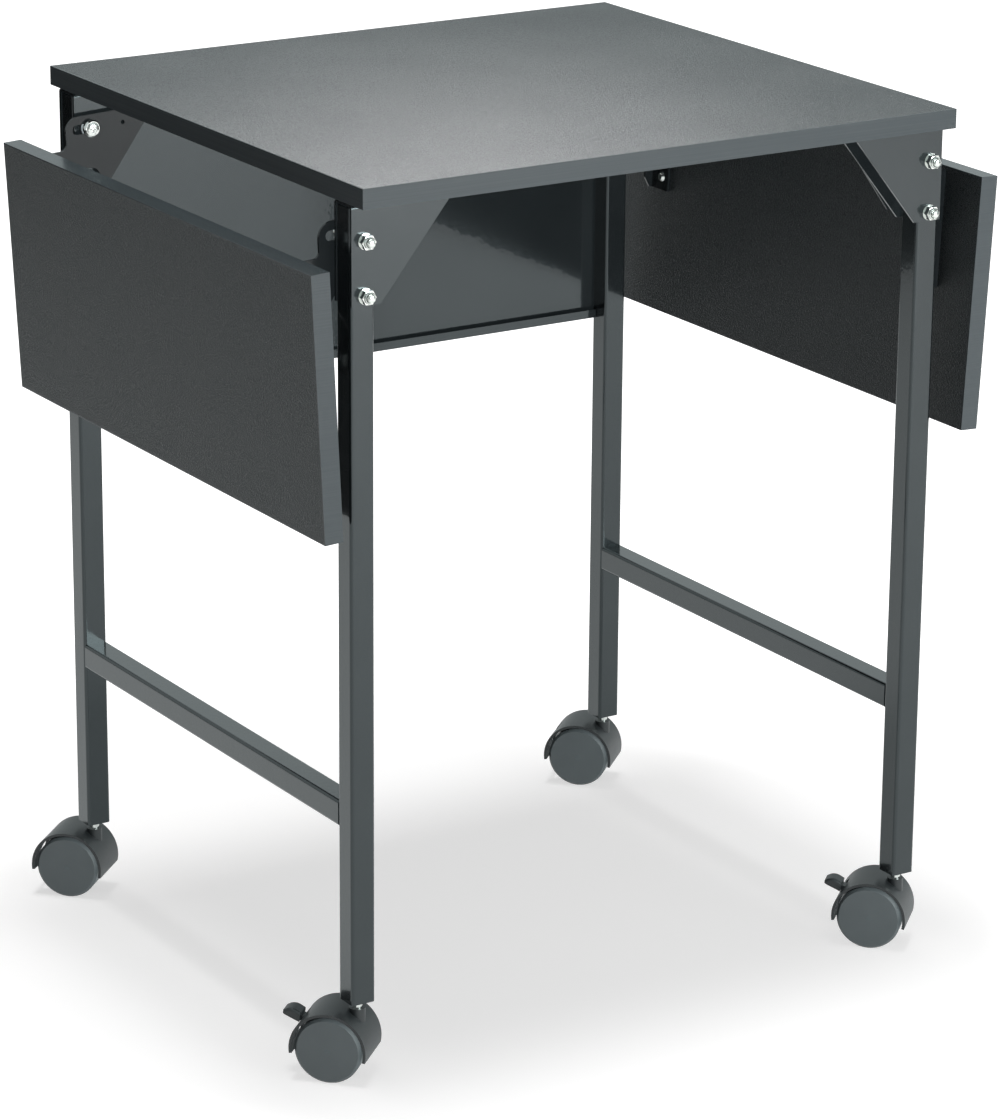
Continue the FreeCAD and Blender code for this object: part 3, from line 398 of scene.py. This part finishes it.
def finish(node, material, round_over):
    """Gives a CAD node its material and a small round on its sharp edges."""
    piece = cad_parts[node]
    piece.data.materials.clear()
    piece.data.materials.append(material)
    rounding = piece.modifiers.new("edge_round", "BEVEL")
    rounding.width = round_over
    rounding.segments = 2
    rounding.limit_method = "ANGLE"
    rounding.angle_limit = ROUNDED_FROM
    rounding.harden_normals = True


def place_object(name, data):
    """An object of the scene that shows a mesh or holds a lamp or a camera."""
    thing = bpy.data.objects.new(name, data)
    bpy.context.scene.collection.objects.link(thing)
    return thing


def show_piece(name, mesh, material):
    """Turns a mesh into a piece on the frame, smooth but for its creases."""
    for face in mesh.faces:
        face.smooth = True
    for edge in mesh.edges:
        edge.smooth = edge.calc_face_angle(0.0) < CREASED_FROM
    data = bpy.data.meshes.new(name)
    mesh.to_mesh(data)
    mesh.free()
    data.materials.append(material)
    piece = place_object(name, data)
    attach(piece, "frame")


def turned(name, profile, spots, material):
    """Closed rings or buttons turned about Y, one at each spot of x, y, z and facing."""
    mesh = bmesh.new()
    for x, y, z, facing in spots:
        rings = []
        for step in range(TURNED_STEPS):
            angle = 2 * math.pi * step / TURNED_STEPS
            rings.append([
                mesh.verts.new((x + radius * math.cos(angle), y + facing * out,
                                z + radius * math.sin(angle))) for radius, out in profile])
        for step, ring in enumerate(rings):
            following = rings[(step + 1) % TURNED_STEPS]
            for i in range(len(profile)):
                j = (i + 1) % len(profile)
                if profile[i][0] > 0 or profile[j][0] > 0:
                    mesh.faces.new((ring[i], ring[j], following[j], following[i]))
    bmesh.ops.remove_doubles(mesh, verts=mesh.verts, dist=SAME_POINT)
    bmesh.ops.recalc_face_normals(mesh, faces=mesh.faces)
    show_piece(name, mesh, material)


def crossed(name, spots, material):
    """Low domes with a cross recess for the driver, one at each spot of x, y, z and facing."""
    mesh = bmesh.new()
    count = int(HEAD_RADIUS / DOME_CELL)
    for x, y, z, facing in spots:
        grid = {}
        for i in range(-count, count + 1):
            for j in range(-count, count + 1):
                u, v = i * DOME_CELL, j * DOME_CELL
                away = math.hypot(u, v)
                if away > HEAD_RADIUS:
                    continue
                near, far = sorted((abs(u), abs(v)))
                out = CROSS_FLOOR
                if near > CROSS_HALF_WIDTH or far > CROSS_REACH:
                    out += DOME_RISE * (1 - (away / HEAD_RADIUS) ** 2)
                grid[i, j] = mesh.verts.new((x + u, y + facing * out, z + v))
        for i, j in list(grid):
            cell = ((i, j), (i + 1, j), (i + 1, j + 1), (i, j + 1))
            corners = [grid.get(spot) for spot in cell]
            if all(corners):
                mesh.faces.new(corners if facing < 0 else corners[::-1])
    show_piece(name, mesh, material)


class TableFinish(bpy.types.PropertyGroup):
    """Colours and textures of the table's own finishes."""

    laminate_colour: colour_setting("Laminate", "#272c2e", "Colour of the tops of the boards")
    laminate_roughness: share_setting("Laminate roughness", 0.32, "How matt the laminate is")
    # The real pebbles are under a millimetre; they are drawn coarser so that they show.
    pebble: length_setting("Pebble", 0.0013, "Spacing of the laminate's pebbles")
    pebble_depth: length_setting("Pebble depth", 0.0005, "Depth of the laminate's pebbles")
    # The paleness of the pebbles is a painted glint, stronger on the top than on the leaves.
    top_sparkle: share_setting("Top sparkle", 0.13, "How pale the rubbed pebbles of the top are")
    leaf_sparkle: share_setting("Leaf sparkle", 0.03, "How pale the pebbles of the leaves are")
    edging_colour: colour_setting("Edging", "#3d4245", "Colour of the edging")
    edging_roughness: share_setting("Edging roughness", 0.2, "How matt the edging is")
    enamel_colour: colour_setting("Enamel", "#15181a", "Colour of the enamel on the steel")
    enamel_roughness: share_setting("Enamel roughness", 0.16, "How matt the enamel is")
    frame_ripple: length_setting("Ripple on the frame", 0.004,
                                 "Spacing of the orange peel on the tube")
    panel_ripple: length_setting("Ripple on the panel", 0.007,
                                 "Spacing of the orange peel on the panel")
    zinc_colour: colour_setting("Zinc", "#e4e6e2", "Colour of the plated fasteners")
    steel_colour: colour_setting("Steel", "#a5a7a8", "Colour of the bare steel")
    hood_colour: colour_setting("Hood", "#171a1c", "Colour of the caster hoods and levers")
    wheel_colour: colour_setting("Wheel", "#53585a", "Colour of the wheels")
    socket_colour: colour_setting("Socket", "#1c1e1f", "Colour of the stem sockets")
    insert_colour: colour_setting("Insert", "#17191a", "Colour of the nylon rings in the nuts")
    board_round: length_setting("Board round", 0.0004, "Round on the edges of the boards")
    steel_round: length_setting("Steel round", 0.0004,
                                "Round on the edges of sheet, tube and fasteners")
    nylon_round: length_setting("Nylon round", 0.0006,
                                "Round on the edges of hoods, wheels and levers")


class StudioSetup(bpy.types.PropertyGroup):
    """Floor, lamps and camera."""

    floor_colour: colour_setting("Floor", "#e3d8d7", "Colour of the floor")
    floor_reach: length_setting("Floor reach", 30.0, "Length of the floor's side")
    floor_lift: share_setting("Floor lift", 0.4, "White seen on top of the lit floor at the table")
    pool_reach: length_setting("Pool reach", 0.8,
                               "From the table's middle to where the floor is all white")
    air_colour: colour_setting("Air", "#f2feff", "Colour of the light from lamps and walls")
    ambient: share_setting("Ambient", 0.2, "Level of the light from all round")
    mirrored: share_setting("Mirrored", 0.7, "Level of the room as glossy surfaces mirror it")
    key_power: power_setting("Key power", 300.0, "Power of the lamp overhead")
    key_place: place_setting("Key place", (-0.1, 0.15, 8.0), "Where the lamp overhead is")
    key_side: length_setting("Key side", 1.9, "Side of the lamp overhead")
    fill_power: power_setting("Fill power", 150.0, "Power of the lamp in front")
    fill_place: place_setting("Fill place", (1.2, -3.4, 1.4), "Where the front lamp is")
    fill_side: length_setting("Fill side", 2.0, "Side of the lamp in front")
    sheen_power: power_setting("Sheen power", 8.0, "Power of the lamp above the top")
    sheen_place: place_setting("Sheen place", (0.17, 0.34, 1.27), "Where the lamp above is")
    sheen_side: length_setting("Sheen side", 0.3, "Side of the lamp above the top")
    camera_place: place_setting("Camera place", (-1.81947, -2.90240, 1.42044),
                                "Where the camera is")
    camera_turn: angle_setting("Camera turn", 32.192, "Turn to the right of straight ahead")
    camera_dip: angle_setting("Camera dip", 18.034, "Tilt below level")
    camera_roll: angle_setting("Camera roll", 0.439, "Roll about the line of sight")
    camera_lens: bpy.props.FloatProperty(
        name="Lens", description="Focal length of the camera", subtype="DISTANCE_CAMERA",
        unit="CAMERA", min=1.0, default=145.55)


class TABLE_OT_boards(bpy.types.Operator):
    """Finishes the three boards and their edging"""

    bl_idname = "table.boards"
    bl_label = "Boards and Edging"

    def execute(self, context):
        settings = context.scene.table_finish
        # The top's pebbles are painted paler than the leaves', as a painted glint of the sheen on
        # the top.
        sparkling = textured_laminate(settings, "painted_sparkle_laminate", settings.top_sparkle)
        laminate = textured_laminate(settings, "textured_laminate", settings.leaf_sparkle)
        edging = satin_edging(settings)
        # The boards meet their edging almost sharp.
        seam_round = settings.board_round / 4
        finish(TABLE_TOP, sparkling, seam_round)
        for node in LEAVES:
            finish(node, laminate, seam_round)
        for node in EDGE_BANDS:
            finish(node, edging, settings.board_round)
        return {"FINISHED"}


class TABLE_OT_frame(bpy.types.Operator):
    """Enamels the legs, rails, brackets and back panel"""

    bl_idname = "table.frame"
    bl_label = "Enamelled Frame"

    def execute(self, context):
        settings = context.scene.table_finish
        tube = gloss_enamel(settings, "frame_gloss_enamel", settings.frame_ripple)
        for node in FRAME_STEEL:
            finish(node, tube, settings.steel_round)
        # The leaves' plates get a shaded copy of the enamel, with no coat and a greyer specular
        # tint:
        # painted shade, so they mirror less than the panel behind them.
        plate = gloss_enamel(settings, "plate_shaded_enamel", settings.frame_ripple,
                             coat=0.0, tint="#d0d2d2")
        for corner in CORNERS:
            finish(f"{corner}_leaf_bracket", plate, settings.steel_round)
        panel = gloss_enamel(settings, "panel_gloss_enamel", settings.panel_ripple)
        finish("back_panel", panel, settings.steel_round)
        return {"FINISHED"}


class TABLE_OT_hardware(bpy.types.Operator):
    """Plates the fasteners and finishes the pivot bushings"""

    bl_idname = "table.hardware"
    bl_label = "Fasteners"

    def execute(self, context):
        settings = context.scene.table_finish
        zinc = bright_zinc(settings)
        steel = turned_steel(settings)
        pins = [f"{corner}_brake_pin" for corner in BRAKED]
        stems = [f"{corner}_caster_{part}" for corner in CORNERS for part in ("stem", "axle")]
        small_round = settings.steel_round / 2
        for node in (*BOLTS, *SCREWS, *stems, *pins):
            finish(node, zinc, small_round)
        for node in BUSHINGS:
            finish(node, steel, small_round)
        spots = [(side * NUT_ASIDE, face, z, facing)
                 for side in (-1, 1) for face, facing in NUT_FACES for z in NUT_HEIGHTS]
        turned("lock_nut_collars", COLLAR, spots, zinc)
        nylon = moulded_nylon("nylon_insert", settings.insert_colour, **INSERT_TEXTURE)
        turned("lock_nut_inserts", INSERT, spots, nylon)
        ends = [(x, facing * BOLT_END, z, facing) for x, _, z, facing in spots]
        turned("bolt_ends", BUTTON, ends, zinc)
        heads = [(side * NUT_ASIDE, end * HEAD_FACE, HEAD_HEIGHT, -end)
                 for side in (-1, 1) for end in (-1, 1)]
        crossed("bolt_head_recesses", heads, zinc)
        return {"FINISHED"}


class TABLE_OT_casters(bpy.types.Operator):
    """Finishes the caster hoods, wheels, levers and sockets"""

    bl_idname = "table.casters"
    bl_label = "Casters"

    def execute(self, context):
        settings = context.scene.table_finish
        hood = moulded_nylon("nylon_hood", settings.hood_colour, **HOOD_TEXTURE)
        wheel = moulded_nylon("nylon_wheel", settings.wheel_colour, **WHEEL_TEXTURE)
        socket = moulded_nylon("nylon_socket", settings.socket_colour, **SOCKET_TEXTURE)
        for corner in CORNERS:
            finish(f"{corner}_caster_housing", hood, settings.nylon_round)
            for side in "ab":
                finish(f"{corner}_caster_wheel_{side}", wheel, settings.nylon_round)
        for corner in BRAKED:
            finish(f"{corner}_brake_lever", hood, settings.nylon_round)
        finish("caster_sockets", socket, settings.nylon_round / 2)
        return {"FINISHED"}


def add_lamp(name, place, side, power, colour, target):
    """A square soft lamp that faces a target and that the camera doesn't see."""
    lamp = bpy.data.lights.new(name, "AREA")
    lamp.shape = "SQUARE"
    lamp.size = side
    lamp.energy = power
    lamp.color = colour[:3]
    holder = place_object(name, lamp)
    holder.visible_camera = False
    holder.location = place
    sight = Vector(target) - Vector(place)
    holder.rotation_euler = sight.to_track_quat("-Z", "Y").to_euler()
    return holder


def lay_mesh(name, points, faces, material):
    """A flat mesh that belongs to the studio."""
    mesh = bpy.data.meshes.new(name)
    mesh.from_pydata(points, [], faces)
    mesh.materials.append(material)
    return place_object(name, mesh)


def lay_flag(name, material):
    """A dark strip on the floor behind the table that only glossy surfaces mirror."""
    start, end = FLAG_SPAN
    half = FLAG_HALF_WIDTH
    corners = [Vector(MIRRORED_WAY) * out + Vector(SIDEWAYS) * across
               + Vector((0.0, 0.0, FLAG_HEIGHT))
               for out, across in ((start, -half), (end, -half), (end, half), (start, half))]
    flag = lay_mesh(name, corners, [(0, 1, 2, 3)], material)
    flag.visible_camera = False
    flag.visible_diffuse = False
    flag.visible_shadow = False


def lay_floor(setup):
    """A flat floor under the wheels, made as a grid of faces."""
    half = setup.floor_reach / 2
    row = FLOOR_STEPS + 1
    span = [half * (2 * i / FLOOR_STEPS - 1) for i in range(row)]
    points = [(x, y, 0.0) for y in span for x in span]
    faces = [(j * row + i, j * row + i + 1, (j + 1) * row + i + 1, (j + 1) * row + i)
             for j in range(FLOOR_STEPS) for i in range(FLOOR_STEPS)]
    floor = lay_mesh("floor", points, faces, studio_floor(setup))


def light_all_round(scene, setup):
    """An even pale room: white where it is seen, and calmer where it lights."""
    world = emptied(bpy.data.worlds.new("pale_room"))
    scene.world = world
    ray = add_node(world, "LightPath")
    seen = add_node(world, "Math", {
        0: ray.outputs["Is Camera Ray"], 1: ray.outputs["Is Transmission Ray"]},
        operation="MAXIMUM")
    shone = add_node(world, "MapRange", {
        "Value": ray.outputs["Is Glossy Ray"], "To Min": setup.ambient,
        "To Max": setup.mirrored})
    level = add_node(world, "Math", {
        0: seen.outputs[0], 1: shone.outputs[0]}, operation="MAXIMUM")
    room = add_node(world, "Background", {
        "Strength": level.outputs[0], "Color": air_hue(world, ray, setup)})
    add_node(world, "OutputWorld", {"Surface": room.outputs[0]})


def place_camera(scene, setup):
    """The camera that shows the table from its front left corner."""
    camera = place_object("camera", bpy.data.cameras.new("camera"))
    camera.data.sensor_fit = "AUTO"
    camera.data.sensor_width = 36.0
    camera.data.lens = setup.camera_lens
    camera.data.clip_end = 100.0
    turn = Matrix.Rotation(-setup.camera_turn, 4, "Z")
    tilt = Matrix.Rotation(math.pi / 2 - setup.camera_dip, 4, "X")
    roll = Matrix.Rotation(setup.camera_roll, 4, "Z")
    camera.matrix_world = Matrix.Translation(setup.camera_place) @ turn @ tilt @ roll
    scene.camera = camera


class TABLE_OT_stage(bpy.types.Operator):
    """Lays the floor and sets the lamps and the camera"""

    bl_idname = "table.stage"
    bl_label = "Studio"

    def execute(self, context):
        scene = context.scene
        setup = scene.table_studio
        lay_floor(setup)
        light_all_round(scene, setup)
        low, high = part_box(TABLE_TOP)
        middle = (0.0, 0.0, high.z / 2)
        air = setup.air_colour
        add_lamp("key_overhead", setup.key_place, setup.key_side, setup.key_power, air, middle)
        fill = add_lamp("fill_in_front", setup.fill_place, setup.fill_side, setup.fill_power,
                        air, middle)
        fill.data.use_shadow = False
        # The lamp above only draws the sheen on the near corner and leaves the shadow alone.
        corner = (low.x, low.y, high.z)
        sheen = add_lamp("sheen_above", setup.sheen_place, setup.sheen_side, setup.sheen_power,
                         linear(SHEEN_COLOUR), corner)
        sheen.visible_diffuse = False
        # The flag is painted shade in the reflections of the table's left faces.
        lay_flag("flag_behind", painted_dark_reflection())
        place_camera(scene, setup)
        scene.view_settings.view_transform = "Standard"
        return {"FINISHED"}


class TABLE_PT_panel(bpy.types.Panel):
    """Lists the table's operators and settings"""

    bl_idname = "TABLE_PT_panel"
    bl_label = "Typewriter Table"
    bl_space_type = "VIEW_3D"
    bl_region_type = "UI"
    bl_category = "Typewriter Table"

    def draw(self, context):
        for operator in OPERATORS:
            self.layout.operator(operator.bl_idname)
        for group in (context.scene.table_finish, context.scene.table_studio):
            column = self.layout.column()
            for name in group.__annotations__:
                column.prop(group, name)


OPERATORS = (TABLE_OT_boards, TABLE_OT_frame, TABLE_OT_hardware, TABLE_OT_casters, TABLE_OT_stage)
CLASSES = (TableFinish, StudioSetup, *OPERATORS, TABLE_PT_panel)


def register():
    """Registers the classes and the scene's settings."""
    for each in CLASSES:
        bpy.utils.register_class(each)
    bpy.types.Scene.table_finish = bpy.props.PointerProperty(type=TableFinish)
    bpy.types.Scene.table_studio = bpy.props.PointerProperty(type=StudioSetup)


def unregister():
    """Takes the settings and the classes away again."""
    del bpy.types.Scene.table_finish
    del bpy.types.Scene.table_studio
    for each in reversed(CLASSES):
        bpy.utils.unregister_class(each)


def main():
    """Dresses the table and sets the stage."""
    register()
    bpy.ops.table.boards()
    bpy.ops.table.frame()
    bpy.ops.table.hardware()
    bpy.ops.table.casters()
    bpy.ops.table.stage()


if __name__ == "__main__":
    main()
